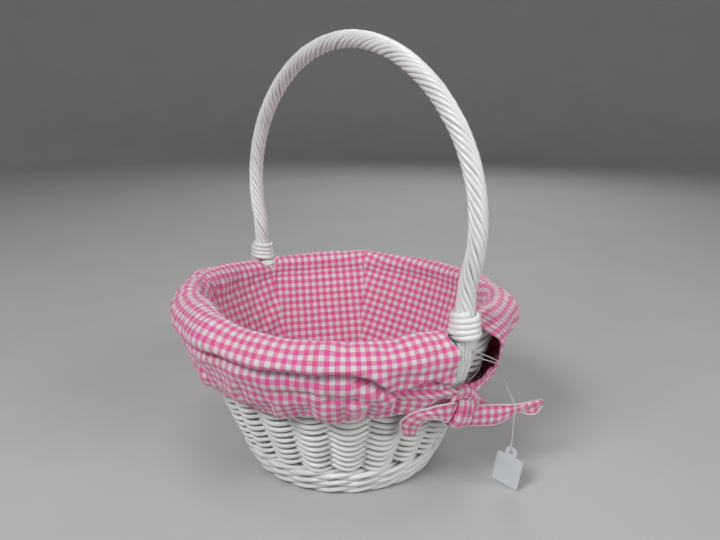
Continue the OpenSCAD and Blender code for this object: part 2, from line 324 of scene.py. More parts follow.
def paint_material(name, grain=True):
    """White gloss paint on cane: grain along the cane, thicker and thinner paint, faint grime."""
    s = Shader(name)
    along = s.scale(s.uv, (9.0, 0.05, 1.0)) if grain else s.scale(s.spot, (900, 900, 60))
    coat = s.noise(s.spot, 38.0, 3.0)
    fibre = s.noise(along, 1.6, 3.0, 0.6)
    pock = s.noise(s.spot, 420.0, 2.0)
    tone = s.ramp(coat, [(0.30, (0.70, 0.715, 0.69)), (0.55, (0.80, 0.815, 0.795)),
                         (0.75, (0.86, 0.87, 0.85))])
    streak = s.ramp(fibre, [(0.30, (0.70, 0.70, 0.66)), (0.52, (0.84, 0.85, 0.83))])
    rough = s.math("ADD", s.math("MULTIPLY", pock, 0.16), 0.24)
    s.surface(base_color=s.mix(0.35, tone, streak), roughness=rough, coat_weight=0.25,
              coat_roughness=0.18)
    s.bump(s.total(fibre, 0.6, pock, 0.3), 0.35, 0.00025)
    return s.material


CHECK, WEAVE_PITCH = 6.35, 0.8
PINK = (0.75, 0.105, 0.33)
COTTON_WHITE = (0.74, 0.705, 0.715)
STRIPE_EDGE = 9.0
DYE_CURVE = 0.56


def gingham_material(name):
    """Woven gingham from UVs in mm: dyed and white threads cross, so half-dyed squares are a
    fine mix."""
    s = Shader(name)
    parts = s.node("ShaderNodeSeparateXYZ")
    s.feed(parts.inputs[0], s.uv)
    soft = s.noise(s.spot, 160.0, 2.0)
    wobble = s.math("MULTIPLY", s.math("SUBTRACT", soft, 0.5), 0.22)
    dyed, thread = [], []
    for axis in (0, 1):
        at = s.math("ADD", parts.outputs[axis], wobble)
        turn = s.math("SINE", s.math("MULTIPLY", at, TAU / CHECK))
        dyed.append(s.math("ADD", s.math("MULTIPLY", turn, STRIPE_EDGE), 0.5, clamp=True))
        thread.append(s.math("SINE", s.math("MULTIPLY", at, TAU / WEAVE_PITCH)))
    crossing = s.math("MULTIPLY", thread[0], thread[1])
    over = s.math("ADD", s.math("MULTIPLY", crossing, 0.28), 0.5)
    lines = s.math("ADD", s.math("MULTIPLY", thread[0], 0.16), over)
    both = s.total(dyed[0], lines, dyed[1], s.math("SUBTRACT", 1.0, lines), clamp=True)
    woven = s.mix(s.math("POWER", both, DYE_CURVE), COTTON_WHITE, PINK)
    slub = s.noise(s.scale(s.uv, (0.9, 7.0, 1.0)), 0.6, 3.0)
    shade = s.ramp(slub, [(0.25, (0.86, 0.86, 0.86)), (0.7, (1.0, 1.0, 1.0))])
    s.surface(base_color=s.mix(1.0, woven, shade, "MULTIPLY"), roughness=0.88,
              specular_ior_level=0.25, sheen_weight=0.25, sheen_roughness=0.5,
              subsurface_weight=0.4, subsurface_radius=(1.0, 0.6, 0.7), subsurface_scale=0.0012)
    s.bump(s.total(over, 0.8, slub, 0.5), 0.45, 0.00018)
    return s.material


def thread_material(name, colour, pitch):
    """Twisted cotton or rubber-cored thread: slanting plies, with painted shade in the grooves
    between them, and fuzz. pitch is one turn in mm.
    """
    s = Shader(name)
    parts = s.node("ShaderNodeSeparateXYZ")
    s.feed(parts.inputs[0], s.uv)
    slant = s.total(parts.outputs[0], TAU * 2, parts.outputs[1], TAU / pitch)
    ply = s.math("ADD", s.math("MULTIPLY", s.math("SINE", slant), 0.5), 0.5)
    fuzz = s.noise(s.spot, 1500.0, 2.0)
    groove_shade_and_fuzz = s.total(ply, 0.7, fuzz, 0.4, clamp=True)
    # The grooves between the plies are painted darker as painted shade; the fuzz adds random tone.
    groove_shade_colour = tuple(c * 0.62 for c in colour)
    s.surface(base_color=s.mix(groove_shade_and_fuzz, groove_shade_colour, colour), roughness=0.8)
    s.bump(groove_shade_and_fuzz, 0.6, 0.0002)
    return s.material


def card_material(name):
    """White card coloured a darker blue-grey as painted shade with a cool blue cast, with fibres
    and faint mottling.
    """
    s = Shader(name)
    fibre = s.noise(s.spot, 1400.0, 4.0, 0.65)
    cloud = s.noise(s.spot, 70.0, 3.0)
    mottle = s.total(fibre, 0.35, cloud, 0.65)
    # The blue-grey colours are painted shade on white card; the fibres and cloud only vary it at
    # random.
    s.surface(base_color=s.ramp(mottle, [(0.32, (0.60, 0.64, 0.68)), (0.6, (0.68, 0.72, 0.76))]),
              roughness=0.62)
    s.bump(fibre, 0.25, 0.0001)
    return s.material


PAINT = paint_material("white_painted_cane")
PAINT_CAD = paint_material("white_painted_stick", grain=False)
GINGHAM = gingham_material("pink_gingham")
THREAD = thread_material("tag_thread", (0.78, 0.78, 0.75), 1.6)
ELASTIC = thread_material("knitted_elastic", (0.80, 0.79, 0.76), 0.9)
EDGING = thread_material("turned_edge", (0.84, 0.78, 0.79), 2.4)
CARD = card_material("white_card")

# ---- the tag's string

HOLE_AT = np.array([127.0, 53.7, 31.0])
TAG_TURN, TAG_ROLL = 13.0, 8.0
LOOP_OFF = 1.05
LOOP_Y = np.array([-math.sin(math.radians(TAG_TURN)), math.cos(math.radians(TAG_TURN)), 0])
# Each ply's own radius, how far it stands off the middle, and the length of one twist
PLY_R, PLY_OUT, PLY_TURN = 0.26, 0.2, 2.2
PLY_SIDE = (1.0, 0.3, 0.0)
STRING_STEP = 0.3
# From the skirt's edge down to the tag, and through the hole in its tab
STRING_ROUTE = [
    (108.4, 57.2, 89.5), (110.5, 57, 86.5), (114, 56.2, 81.5), (118.2, 55.2, 76.5),
    (123, 54.5, 71.5), (126.9, 54, 66.5), (127.3, 53.8, 61.5), (127.2, 53.7, 56),
    (127, 53.7, 50), (127, 53.7, 45), (127, 53.7, 40.5),
] + [tuple(HOLE_AT + np.array([0, 0, z]) + LOOP_Y * off) for z, off in (
    (7, -0.5), (5, -LOOP_OFF), (2.2, -LOOP_OFF), (0.6, -0.75), (0, 0), (0.6, 0.75),
    (2.2, LOOP_OFF), (5, LOOP_OFF), (8, LOOP_OFF))]
# From the skirt's edge to the weave by the handle's foot, round a cane there, and back
ANCHOR_ROUTE = [
    (108, 57.6, 90.4), (110.4, 52.3, 93), (112.2, 44, 97.2), (114, 35, 101.6), (115.6, 26, 106),
    (117.2, 20.6, 109), (116.9, 18.4, 110.8), (115.9, 19.2, 112.2), (115.4, 22, 111.4),
    (115, 29, 108), (113.6, 38, 103.2), (112.2, 46, 98.8), (110.9, 51.8, 95.2), (108.2, 57, 91.7),
]


def route_length(route):
    return float(np.linalg.norm(np.diff(np.asarray(route, float), axis=0), axis=1).sum())


def strung(name, route):
    """Two plies of thread twisted round each other along a route."""
    line, at = smooth_line(route, int(route_length(route) / STRING_STEP))
    tangent = unit(np.gradient(line, axis=0))
    side = unit(np.cross(tangent, PLY_SIDE))
    over = np.cross(side, tangent)
    b = Bundle()
    for k in (0, 1):
        a = TAU * at / PLY_TURN + k * math.pi
        path = line + PLY_OUT * (np.cos(a)[:, None] * side + np.sin(a)[:, None] * over)
        tube(b, path, PLY_R, 6, up=PLY_SIDE)
    return b.make(name, THREAD), line


anchor, anchor_line = strung("string_through_weave", ANCHOR_ROUTE)
string, string_line = strung("tag_thread_strung", STRING_ROUTE)

# ---- wicker

STAKES = 23
STAKE_STEP = 360.0 / STAKES
STAKE_PHASE = -4.05
STAKE_LOW, STAKE_HIGH, STAKE_CANE = 2.5, 126.0, 3.5
PER_STAKE = 10  # points of a strand between two stakes
BASE_R, FLARE, CURVE = 71.5, 0.51, 0.00097
WALE_TOP = 21.5
RAND_TOP = 105.0
MID_INSET = 6.0
RAND_CANE, RAND_PITCH = 3.6, 2.86
SWING_OUT, SWING_IN, SAG = 4.5, 2.9, 2.7
# Height of each round of wale, and how far it bulges out of the wall
BOTTOM_ROUNDS = [(4.0, 2.2), (11.3, 2.2), (18.4, 1.6)]
UPPER_ROUNDS = [(108.6, 1.2), (115.0, 1.2)]
BORDER_R, BORDER_Z, BORDER_TUBE = 114.5, 124.0, 6.5
BORDER_CANE, BORDER_STRANDS, BORDER_TWISTS, BORDER_POINTS = 3.9, 7, 3, 460
SPOKES, BASE_CANE, BASE_PITCH = 16, 2.5, 3.9
BASE_FROM, BASE_TO, BASE_Z = 12.0, 64.5, 5.25
BASE_SWING, BASE_SWING_UP = 1.3, 2.45


def wall_r(z):
    return BASE_R + FLARE * z - CURVE * z * z


def mid_r(z):
    return wall_r(z) - MID_INSET


def randing(low, high, cane, pitch):
    """One long weaver that goes in front of a stake and behind the next, round and round."""
    slope = 1 / math.hypot(1, FLARE - 2 * CURVE * (low + high) / 2)
    rows = (high - low) / (pitch * slope)
    n = int(rows * STAKES * PER_STAKE)
    stake_sag = rng.uniform(0.6, 1.25, STAKES)
    t = np.arange(n) / PER_STAKE
    rise = pitch * slope / STAKES
    front = np.cos(math.pi * t)
    sag = SAG * np.interp(t, np.arange(STAKES + 1), np.append(stake_sag, stake_sag[0]),
                          period=STAKES)
    z = low + cane / 2 + t * rise + wander(n, 16, 0.3) + wander(n, 60, 0.3) - sag * front
    r = mid_r(z) + np.where(front > 0, SWING_OUT, SWING_IN) * front + wander(n, 25, 0.25)
    size = cane / 2 * (0.88 + 0.18 * np.abs(front) + wander(n, 40, 0.06) + wander(n, 9, 0.02))
    b = Bundle()
    tube(b, polar(r, STAKE_PHASE + t * STAKE_STEP, z), size, 8)
    return b.make("woven_side", PAINT)


def waling(bundle, mid_z, bulge, cane, swing_out, swing_in, lift):
    """A round of three-rod wale. One closed strand goes three times round: in front of two stakes
    and behind one, and it climbs while it is in front."""
    n = 3 * STAKES * PER_STAKE
    t = np.arange(n) / PER_STAKE
    phase = (t - 0.5) % 3.0
    key_t = [0, 0.5, 1.0, 1.5, 2.0, 2.5, 3.0]
    out = np.interp(phase, key_t, [1.0, 0.75, -0.15, -1.0, -0.15, 0.75, 1.0])
    climb = np.interp(phase, key_t, [0, 0.5, 0.62, 0, -0.62, -0.5, 0])
    smooth = np.array([1, 3, 5, 6, 5, 3, 1], float)
    smooth /= smooth.sum()
    out, climb = (sum(w * np.roll(line, k - 3) for k, w in enumerate(smooth))
                  for line in (out, climb))
    z = np.maximum(mid_z + lift * climb + wander(n, 18, 0.25, True), cane / 2 + 0.1)
    r = mid_r(z) + bulge + out * np.where(out > 0, swing_out, swing_in) + wander(n, 22, 0.2, True)
    size = cane / 2 * (1 + wander(n, 30, 0.05, True))
    tube(bundle, polar(r, STAKE_PHASE + t * STAKE_STEP, z), size, 8, closed=True)


def wale_rounds(name, rounds, **sizes):
    b = Bundle()
    for mid_z, bulge in rounds:
        waling(b, mid_z, bulge, **sizes)
    return b.make(name, PAINT)


def upright_stakes():
    b = Bundle()
    for i in range(STAKES):
        z = np.linspace(STAKE_LOW, STAKE_HIGH, 26)
        a = STAKE_PHASE + i * STAKE_STEP + rng.uniform(-0.3, 0.3)
        tube(b, polar(mid_r(z) + 0.5, a, z), STAKE_CANE / 2, 8, up=polar(1, a + 90, 0))
    return b.make("upright_stakes", PAINT)


def border_ring():
    """Strands that twist slowly round a ring."""
    b = Bundle()
    n = BORDER_POINTS
    t = np.arange(n) / n
    for k in range(BORDER_STRANDS):
        a = TAU * (k / BORDER_STRANDS + BORDER_TWISTS * t) + wander(n, 24, 0.12, True)
        ring = (BORDER_TUBE - BORDER_CANE / 2) * (1 + wander(n, 15, 0.05, True))
        path = polar(BORDER_R + ring * np.cos(a), 360 * t, BORDER_Z + ring * np.sin(a))
        tube(b, path, BORDER_CANE / 2, 8, closed=True)
    return b.make("border_strands", PAINT)


def base_pairing():
    """Two rods that twist between the fanned sticks, round after round."""
    b = Bundle()
    turns = (BASE_TO - BASE_FROM) / BASE_PITCH
    n = int(turns * SPOKES * 8)
    t = np.arange(n) / n * turns
    for k in (0, 1):
        swing = SPOKES / 2 * TAU * t + math.pi * k
        r = BASE_FROM + BASE_PITCH * t + BASE_SWING * np.sin(swing) + wander(n, 20, 0.1)
        z = BASE_Z + BASE_SWING_UP * np.cos(swing) + wander(n, 20, 0.1)
        tube(b, polar(r, 360 * t, z), BASE_CANE / 2, 7)
    return b.make("base_pairing", PAINT)


side_obj = randing(WALE_TOP, RAND_TOP, RAND_CANE, RAND_PITCH)
wale_obj = wale_rounds("bottom_wale_rods", BOTTOM_ROUNDS,
                       cane=4.15, swing_out=4.1, swing_in=3.3, lift=4.2)
upper_obj = wale_rounds("upper_wale_rods", UPPER_ROUNDS,
                        cane=3.5, swing_out=3.9, swing_in=3.0, lift=3.5)
stakes_obj = upright_stakes()
border_obj = border_ring()
base_obj = base_pairing()

# ---- handle

FOOT_X, FOOT_Z, FOOT_STRAIGHT = 124.8, 129.0, 22.0
WAIST_BULGE, WAIST_H = 6.7, 46.5
SHOULDER_R, SHOULDER_A = 101.4, 51.6
ROPE_D, ROPE_CANES, ROPE_CANE_D, ROPE_LAY = 12.4, 9, 3.05, 60.0
HOOP_POINTS = 300
WRAP_D, WRAP_PITCH, WRAP_TURNS, WRAP_POINTS = 4.0, 3.4596, 4.25, 150
WRAP_SLOPE = 0.09
LEG_CANES, LEG_PITCH, LEG_CANE_D, LEG_POINTS = 4, 3.1, 3.1, 34
# Distance out, height and how much of the pitch is left between the canes
LEG_LINE = [(124.2, 131.0, 1.0), (124.9, 127.0, 1.0), (125.2, 119.0, 0.97), (124.7, 111.0, 0.85),
            (123.2, 104.0, 0.7), (118.8, 97.5, 0.58), (113.2, 91.5, 0.5), (109.5, 88.0, 0.45)]

# The handle rises straight from its foot, bends out to its widest, and closes over the basket
waist_a = 2 * math.degrees(math.atan(WAIST_BULGE / WAIST_H))
waist_r = WAIST_H / 2 / math.sin(math.radians(waist_a))
shoulder_x = FOOT_X + WAIST_BULGE - SHOULDER_R
shoulder_z = FOOT_Z + FOOT_STRAIGHT + WAIST_H
top_r = SHOULDER_R + shoulder_x / math.sin(math.radians(SHOULDER_A))
top_z = shoulder_z - (top_r - SHOULDER_R) * math.cos(math.radians(SHOULDER_A))


def arc(x, z, r, from_a, to_a, steps):
    """Points of an arc in the handle's plane, without its first."""
    a = np.radians(from_a + (to_a - from_a) * np.arange(1, steps + 1) / steps)
    return np.stack([x + r * np.cos(a), 0 * a, z + r * np.sin(a)], axis=1)


half = np.concatenate([
    [[FOOT_X, 0, FOOT_Z - 1], [FOOT_X, 0, FOOT_Z + 8], [FOOT_X, 0, FOOT_Z + FOOT_STRAIGHT]],
    arc(FOOT_X + waist_r, FOOT_Z + FOOT_STRAIGHT, waist_r, 180, 180 - waist_a, 8),
    arc(shoulder_x + SHOULDER_R - waist_r, shoulder_z, waist_r, -waist_a, 0, 8),
    arc(shoulder_x, shoulder_z, SHOULDER_R, 0, 90 - SHOULDER_A, 16),
    arc(0, top_z, top_r, 90 - SHOULDER_A, 90, 24),
])
hoop = np.concatenate([half, half[-2::-1] * np.array([-1, 1, 1])])


def roping():
    """Canes laid round the handle's core like the strands of a rope."""
    b = Bundle()
    n = HOOP_POINTS
    line, at = smooth_line(hoop, n)
    tangent = unit(np.gradient(line, axis=0))
    across = np.broadcast_to(np.array([0.0, 1.0, 0.0]), tangent.shape)
    outward = np.cross(tangent, across)
    for k in range(ROPE_CANES):
        a = -TAU * at / ROPE_LAY + TAU * k / ROPE_CANES + wander(n, 30, 0.07)
        ring = (ROPE_D - ROPE_CANE_D) / 2 + wander(n, 22, 0.12)
        path = line + ring[:, None] * (np.cos(a)[:, None] * across + np.sin(a)[:, None] * outward)
        tube(b, path, ROPE_CANE_D / 2 * (1 + wander(n, 35, 0.05)), 8, up=(0, 1, 0))
    return b.make("roped_handle", PAINT)


def collar(name, mirror):
    """Cane wound round the foot of the handle, widest at the bottom, with its ends tucked in."""
    b = Bundle()
    n = WRAP_POINTS
    t = np.linspace(0, WRAP_TURNS, n)
    swell = np.interp(t, [0, 0.8, 1.6, 3, WRAP_TURNS], [1.1, 1.0, 0.35, 0.0, -0.3])
    r = ROPE_D / 2 + WRAP_D / 2 - 0.15 + swell + wander(n, 14, 0.12)
    r = r - 2.4 * ease(t, WRAP_TURNS - 0.3, WRAP_TURNS) - 2.0 * (1 - ease(t, 0, 0.25))
    z = FOOT_Z + WRAP_D / 2 + 0.1 + WRAP_PITCH * t + wander(n, 18, 0.15)
    p = polar(r, 250 + 360 * t, z) + np.array([FOOT_X, 0, 0])
    p[:, 2] += WRAP_SLOPE * (p[:, 0] - FOOT_X)
    tube(b, p * np.array([mirror, 1, 1]), WRAP_D / 2 * (1 + wander(n, 20, 0.04)), 10)
    return b.make(name, PAINT)


def leg(name, mirror):
    """Canes that come out of the collar, run down the outside of the weave and go into it."""
    b = Bundle()
    n = LEG_POINTS
    line, _ = smooth_line(LEG_LINE, n)
    for k in range(LEG_CANES):
        lane = k - (LEG_CANES - 1) / 2
        tucked = 1 - line[:, 2]
        x = line[:, 0] + (1.1 if k % 2 else -0.9) * tucked + wander(n, 12, 0.15)
        y = lane * LEG_PITCH * line[:, 2] + wander(n, 10, 0.2)
        path = np.stack([mirror * x, y, line[:, 1]], axis=1)
        tube(b, path, LEG_CANE_D / 2 + wander(n, 12, 0.06), 9, up=(0, 1, 0))
    return b.make(name, PAINT)


rope_obj = roping()
collar_right = collar("wound_collar_right", 1)
collar_left = collar("wound_collar_left", -1)
leg_right = leg("leg_strands_right", 1)
leg_left = leg("leg_strands_left", -1)

# ---- liner

SHEET_T = 0.7
UV_R = 129.0
# Radius and height of the cloth: the roll that puffs into the basket, the same stretch where it
# goes straight up the wall, the crest, and the outside down to the hem and back up in its casing
ROLLED = [(106.9, 118.6), (103.4, 121.8), (102.2, 126.2), (104.6, 131.0), (110.6, 134.0)]
UPRIGHT = [(114.6, 133.2), (115.2, 133.5), (115.8, 133.8), (116.3, 134.0), (116.8, 134.2)]
CREST = (117.2, 134.4)
OUTSIDE = [
    (122.6, 132.4), (127.0, 128.4), (129.5, 123.2), (129.7, 118.0), (128.0, 113.0), (125.9, 108.0),
    (123.8, 103.0), (121.9, 98.0), (120.2, 93.0), (118.2, 88.0), (115.4, 83.0), (112.4, 78.6),
    (109.7, 75.6), (107.4, 77.0), (107.0, 81.0), (108.6, 85.2),
]
ROLL_ROWS, OUTSIDE_ROWS = 30, 60
# How much of the roll there is around the rim
ROLL_AT = [-180, -155, -140, -128, -115, -104, -73, -45, -26, -12, 0, 10, 25, 45, 60, 75, 180]
ROLL_SHARE = [0, 0, 0.1, 0.3, 0.7, 0.9, 0.5, 0.2, 0.3, 0.5, 0.6, 0.5, 0.45, 0.35, 0.1, 0, 0]
# The seams inside push the rim up into corners
RIM_AT = [-180, -172, -160, -147, -130, -110, -95, -75, -60, -50, -38, -25, -12, 0,
          30, 50, 60, 95, 115, 124, 134, 143, 155, 168, 180]
RIM_LIFT = [-3.5, -2.5, 0.5, 3.0, 2.8, 1.2, 2.5, 0.0, -2.5, -3.2, -2.6, -2.8, -0.3, 0.0,
            0.6, -1.5, -3.2, -3.5, -3.5, -3.0, -0.8, -2.2, -2.6, -3.2, -3.5]
# How far the hem is pulled up around the front
HEM_AT = [-100, -93, -85, -75, -66, -57, -52, -47, -41, -34, -27, -21, -12, -6]
HEM_LIFT = [2.0, 3.0, 1.0, 2.0, -0.3, 1.5, 3.2, 5.0, 2.3, 2.5, 2.0, 3.5, 1.0, 1.0]
# Where the edges of the front skirt hang beside the handle: straight, then out to the knot
SLIT_Y, SLIT_LOW_Y = -8.5, 2.5
SLIT_OUT_FROM, SLIT_OUT_TO = 98.0, 90.0
# Edge of the back skirt beside the slit, by height
SLIT_Z = [72, 78.5, 83, 87, 92, 100, 110, 120, 130, 134.4]
SLIT_A = [10.5, 10.5, 14, 21, 25.5, 24.5, 20, 15, 8, 5.5]
EDGE_REACH = 0.22  # share of a skirt's width over which its ends are drawn to their edges
COLLAR_CLEAR, BORDER_CLEAR, WALL_CLEAR = 11.6, 7.6, 1.5
# Creases: degrees, heights, depth, width, and the degrees over which they set in
FRONT_CREASES = [
    ([-108, -100, -78, -66, -36, -33, -29, -26, -24, -20.5],
     [113, 115, 116, 114.5, 114.5, 112, 108, 103.5, 99.5, 96], 6.5, 3.4, 34),
    ([-23, -18, -15, -10, -1], [96, 100, 103.7, 103.5, 96], 3.6, 2.2, 8),
    ([-28, -21, -16, -11, -5, 2], [98.3, 98.9, 98.6, 97.6, 96, 92], 2.0, 1.6, 8),
    ([-62, -45, -30, -22], [98, 101, 97, 92], 1.6, 2.2, 8),
]
BACK_CREASE = ([24, 45, 70, 100, 130, 156], [106, 113, 115, 113, 115, 110], 4.0, 2.8, 8)
# Pleats that run up from the front hem: degrees, top, depth, width
FRONT_PLEATS = [(-37, 99, 1.6, 1.4), (-29, 101, 1.6, 1.3), (-24.6, 95, 1.8, 1.1),
                (-20.5, 98, 1.8, 1.1), (-9.5, 90, 1.6, 1.1), (-48, 96, 1.3, 1.4),
                (-60, 97, 1.4, 1.6), (-71, 99, 1.8, 1.6), (-83, 96, 1.4, 1.6)]
ELASTIC_R, ELASTIC_Z, ELASTIC_HALF, ELASTIC_FLAT = 109.2, 78.6, 2.0, 0.25


def rim_lift(theta, z):
    """How far the corners of the rim lift the cloth near it."""
    return np.interp((theta + 180) % 360 - 180, RIM_AT, RIM_LIFT) * ease(z, 112, 132)


def hem_lift(theta):
    return np.interp(theta, HEM_AT, HEM_LIFT) * ease(-theta, -2, 6)


def blend(rolled, upright, theta):
    """Radius, height and length as rows by columns: the rolled profile by its share at each
    column, and the upright one for the rest."""
    share = np.interp(theta, ROLL_AT, ROLL_SHARE)
    return [np.outer(a, share) + np.outer(b, 1 - share)
            for a, b in zip((*rolled[0].T, rolled[1]), (*upright[0].T, upright[1]))]


def profile_rows(inside):
    """Rows of cloth from the seam inside the rim to the hem, and their lengths from the crest."""
    points = inside + [CREST] + OUTSIDE
    curve, lengths = curve_through(points)
    crest = lengths[CURVE_STEPS * len(inside)]
    at = np.concatenate([np.linspace(0, crest, ROLL_ROWS, endpoint=False),
                         np.linspace(crest, lengths[-1], OUTSIDE_ROWS)])
    return sample_curve(curve, lengths, at), at - crest


def thicken(obj, thick, offset):
    mod = obj.modifiers.new("thickness", "SOLIDIFY")
    mod.thickness = thick * MM
    mod.offset = offset


def gathers(th, z, s):
    """How far the cloth stands off its profile, in mm: soft slack, and pleats above the hem."""
    low = ease(-z, -114, -92) * ease(s, 8, 20)
    drift = grid_noise(th / 20, z / 40, seed=3)
    d = low * 2.8 * grid_noise(th / 5.2 + 0.6 * drift, z / 46, seed=11)
    d += low * 1.2 * grid_noise(th / 2.4, z / 24, seed=21)
    d += 3.6 * grid_noise(th / 15, s / 30, seed=31)
    d += 1.5 * grid_noise(th / 5.5 + s / 20, s / 24, seed=37)
    d += 0.8 * ease(s, 8, 20) * grid_noise(th / 7, z / 9, seed=41)
    return d


def valley(th, z, at_theta, at_z, depth, width, fade):
    """A crease along a line of heights, with cloth pushed up on both sides of it."""
    line = np.interp(th, at_theta, at_z)
    first, last = at_theta[0], at_theta[-1]
    ends = ease(th, first, first + fade) * (1 - ease(th, last - 6, last))
    off = (z - line) / width
    return depth * ends * (0.35 * bump(off, 2.1, 1.3) + 0.15 * bump(off, -2.6, 1.8)
                           - bump(off, 0, 1))


def band(name, theta, edge_lo, edge_hi, extra):
    """One half of the roll and skirt. edge_lo and edge_hi give where its ends lie, by height."""
    r, z, s = blend(profile_rows(ROLLED), profile_rows(UPRIGHT), theta)
    level = np.where(s > 0, z, CREST[1])
    span = theta[-1] - theta[0]
    near_lo = 1 - ease(theta, theta[0], theta[0] + EDGE_REACH * span)
    near_hi = ease(theta, theta[-1] - EDGE_REACH * span, theta[-1])
    th = theta + near_lo * (edge_lo(level) - theta[0]) + near_hi * (edge_hi(level) - theta[-1])
    along_r, along_z = np.gradient(r, axis=0), np.gradient(z, axis=0)
    size = np.hypot(along_r, along_z)
    free = ease(s - s[:1], 0, 12) * (1 - 0.8 * ease(s, 66, 76))
    d = (gathers(th, z, s) + extra(th, z, s)) * free
    r = r - along_z / size * d
    z = z + along_r / size * d
    z = z + rim_lift(th, z)
    r, z = clear_of_wicker(r, z, s)
    z = z + ease(s, 45, 66) * (hem_lift(th) + 1.2 * grid_noise(th / 7, 0 * th, seed=51))
    grid = clear_of_collars(polar(r, th, z))
    b = Bundle()
    uv = np.stack([np.broadcast_to(UV_R * np.radians(theta), th.shape), s], axis=-1)
    b.add(grid.reshape(-1, 3), *quads(uv))
    obj = b.make(name, GINGHAM)
    thicken(obj, SHEET_T, -1.0)
    return obj


def clear_of_wicker(r, z, s):
    """Cloth is kept just outside the border ring and, on the outside, the woven wall."""
    dr, dz = r - BORDER_R, z - BORDER_Z
    away = np.maximum(np.hypot(dr, dz), 0.1)
    grow = np.maximum(BORDER_CLEAR / away, 1.0)
    r, z = BORDER_R + dr * grow, BORDER_Z + dz * grow
    return np.where(s > 8, np.maximum(r, wall_r(z) + WALL_CLEAR), r), z


def clear_of_collars(grid):
    """Cloth beside a collar is pushed out to its side."""
    for side in (-1, 1):
        dx, dy = grid[..., 0] - side * FOOT_X, grid[..., 1]
        near = np.hypot(dx, dy)
        low = ease(grid[..., 2], 122, 129)
        push = low * np.maximum(COLLAR_CLEAR - near, 0)
        grid[..., 0] += push * 0.3 * dx / np.maximum(near, 1)
        grid[..., 1] += push * np.sign(dy)
    return grid


def front_extra(th, z, s):
    """What stands off or in on the front skirt alone."""
    d = sum(valley(th, z, *crease) for crease in FRONT_CREASES)
    for at, top, deep, wide in FRONT_PLEATS:
        d -= deep * bump(th, at, wide) * ease(-z, -top, -top + 8)
    # Sharp slanting folds at the left
    slant = th * 1.1 + z * 0.75
    d += bump(th, -118, 34) * 3.4 * (0.35 - np.abs(grid_noise(slant / 7, z / 60, seed=43)))
    d = d * ease(s, 6, 14)
    # Crumpled rim by the handle's far foot, and the side below it drawn in
    d += bump(th, -150, 40) * 3.0 * (0.3 - np.abs(grid_noise(th / 5 - s / 14, s / 50, seed=45)))
    d -= (1 - ease(th, -104, -78)) * (1.5 * bump(s, 18, 10) + 6.5 * bump(s, 38, 15))
    # A dip in the crest beside the near foot, and a fuller roll at the left
    d -= 2.6 * bump(th, -24.5, 3.4) * bump(s, 0, 9)
    d += 1.6 * bump(th, -110, 22) * bump(s, -12, 12)
    return d


def back_extra(th, z, s):
    """A crease below the back's crest, and slanting folds."""
    slant = th * 0.9 - z * 0.8
    folds = 1.8 * (0.35 - np.abs(grid_noise(slant / 8, z / 60, seed=47)))
    return (valley(th, z, *BACK_CREASE) + folds) * ease(s, 6, 14)


def straight_edge(left):
    """An edge that hangs straight on the outside and runs out to the knot at the bottom."""
    low_to_high = np.array([CREST] + OUTSIDE[:13])[::-1]

    def edge(level):
        r = np.interp(level, low_to_high[:, 1], low_to_high[:, 0])
        y = SLIT_LOW_Y + (SLIT_Y - SLIT_LOW_Y) * ease(level, SLIT_OUT_TO, SLIT_OUT_FROM)
        a = np.degrees(np.arcsin(y / r))
        return -180 - a if left else a
    return edge


def slit_edge(level):
    return np.interp(level, SLIT_Z, SLIT_A)


front_obj = band("front_skirt", np.linspace(-177, -3, 330), straight_edge(True),
                 straight_edge(False), front_extra)
back_obj = band("back_skirt", np.linspace(6, 174, 320), slit_edge,
                lambda level: 180 - slit_edge(level), back_extra)


def elastic(name, low, high):
    """Flat elastic inside a hem."""
    theta = np.linspace(low, high, 120)
    b = Bundle()
    path = polar(ELASTIC_R, theta, ELASTIC_Z + hem_lift(theta))
    tube(b, path, ELASTIC_HALF, 10, up=polar(1, theta, 0), flat=ELASTIC_FLAT)
    return b.make(name, ELASTIC)


elastic_front = elastic("elastic_in_front_hem", -177, -4)
elastic_back = elastic("elastic_in_back_hem", 12, 168)

# Bowl: cone-shaped gores cut with the checks square to the middle of each gore
SEAMS = [-137, -47, 0, 43, 133, 180, 223]
CONE = 0.349  # how much of a turn a gore keeps when it is laid flat
GORE_LOW_R = 62.0
LINING_INSET = 11.2
FLOOR_Z = 10.9
UNDER_ROLL = [(107.2, 124.6), (107.1, 123.4), (107.0, 122.2), (107.0, 121.0)]
UP_TO_CREST = [(118.3, 134.6), (113.0, 133.6), (108.9, 130.0), (107.1, 124.0)]
WALL_Z = (118.0, 110.0, 100.0, 88.0, 76.0, 64.0, 52.0, 40.0, 28.0, 18.5)
WALL = [(wall_r(z) - LINING_INSET, z) for z in WALL_Z]
TURN = [(67.0, 13.9), (64.6, 11.6), (60.5, FLOOR_Z)]
FLOOR_RINGS = [50.0, 38.0, 26.0, 14.0, 3.0]
# Beside the handle the lining ends on the inner side of the border
TUCK_Y, TUCK_WIDTH, TUCK_R, TUCK_Z = -2.5, 8.5, 107.0, 125.0


def bowl_dent(th, z):
    """Creases and slack in the lining, in mm towards the middle of the basket."""
    d = 0.7 * grid_noise(th / 16, z / 30, seed=61) + 0.35 * grid_noise(th / 6, z / 18, seed=62)
    left = bump(th % 360, 212, 30)  # most crumpled by the handle's far foot
    slant = (th % 360) * 0.9 + z * 0.55
    d += left * 5.0 * np.abs(grid_noise(slant / 9, z / 60, seed=63)) * ease(z, 40, 90)
    d += left * 3.5 * ease(z, 92, 120) * (0.35 - np.abs(grid_noise(slant / 5, z / 30, seed=65)))
    d += ease(z, 100, 118) * 0.9 * grid_noise(th / 3.0, z / 40, seed=64) * (0.4 + left)
    for seam in SEAMS:
        off = (th - seam + 180) % 360 - 180
        d += 0.9 * bump(off, 0, 0.55) - 0.35 * bump(off, 1.3, 0.5)
    return d


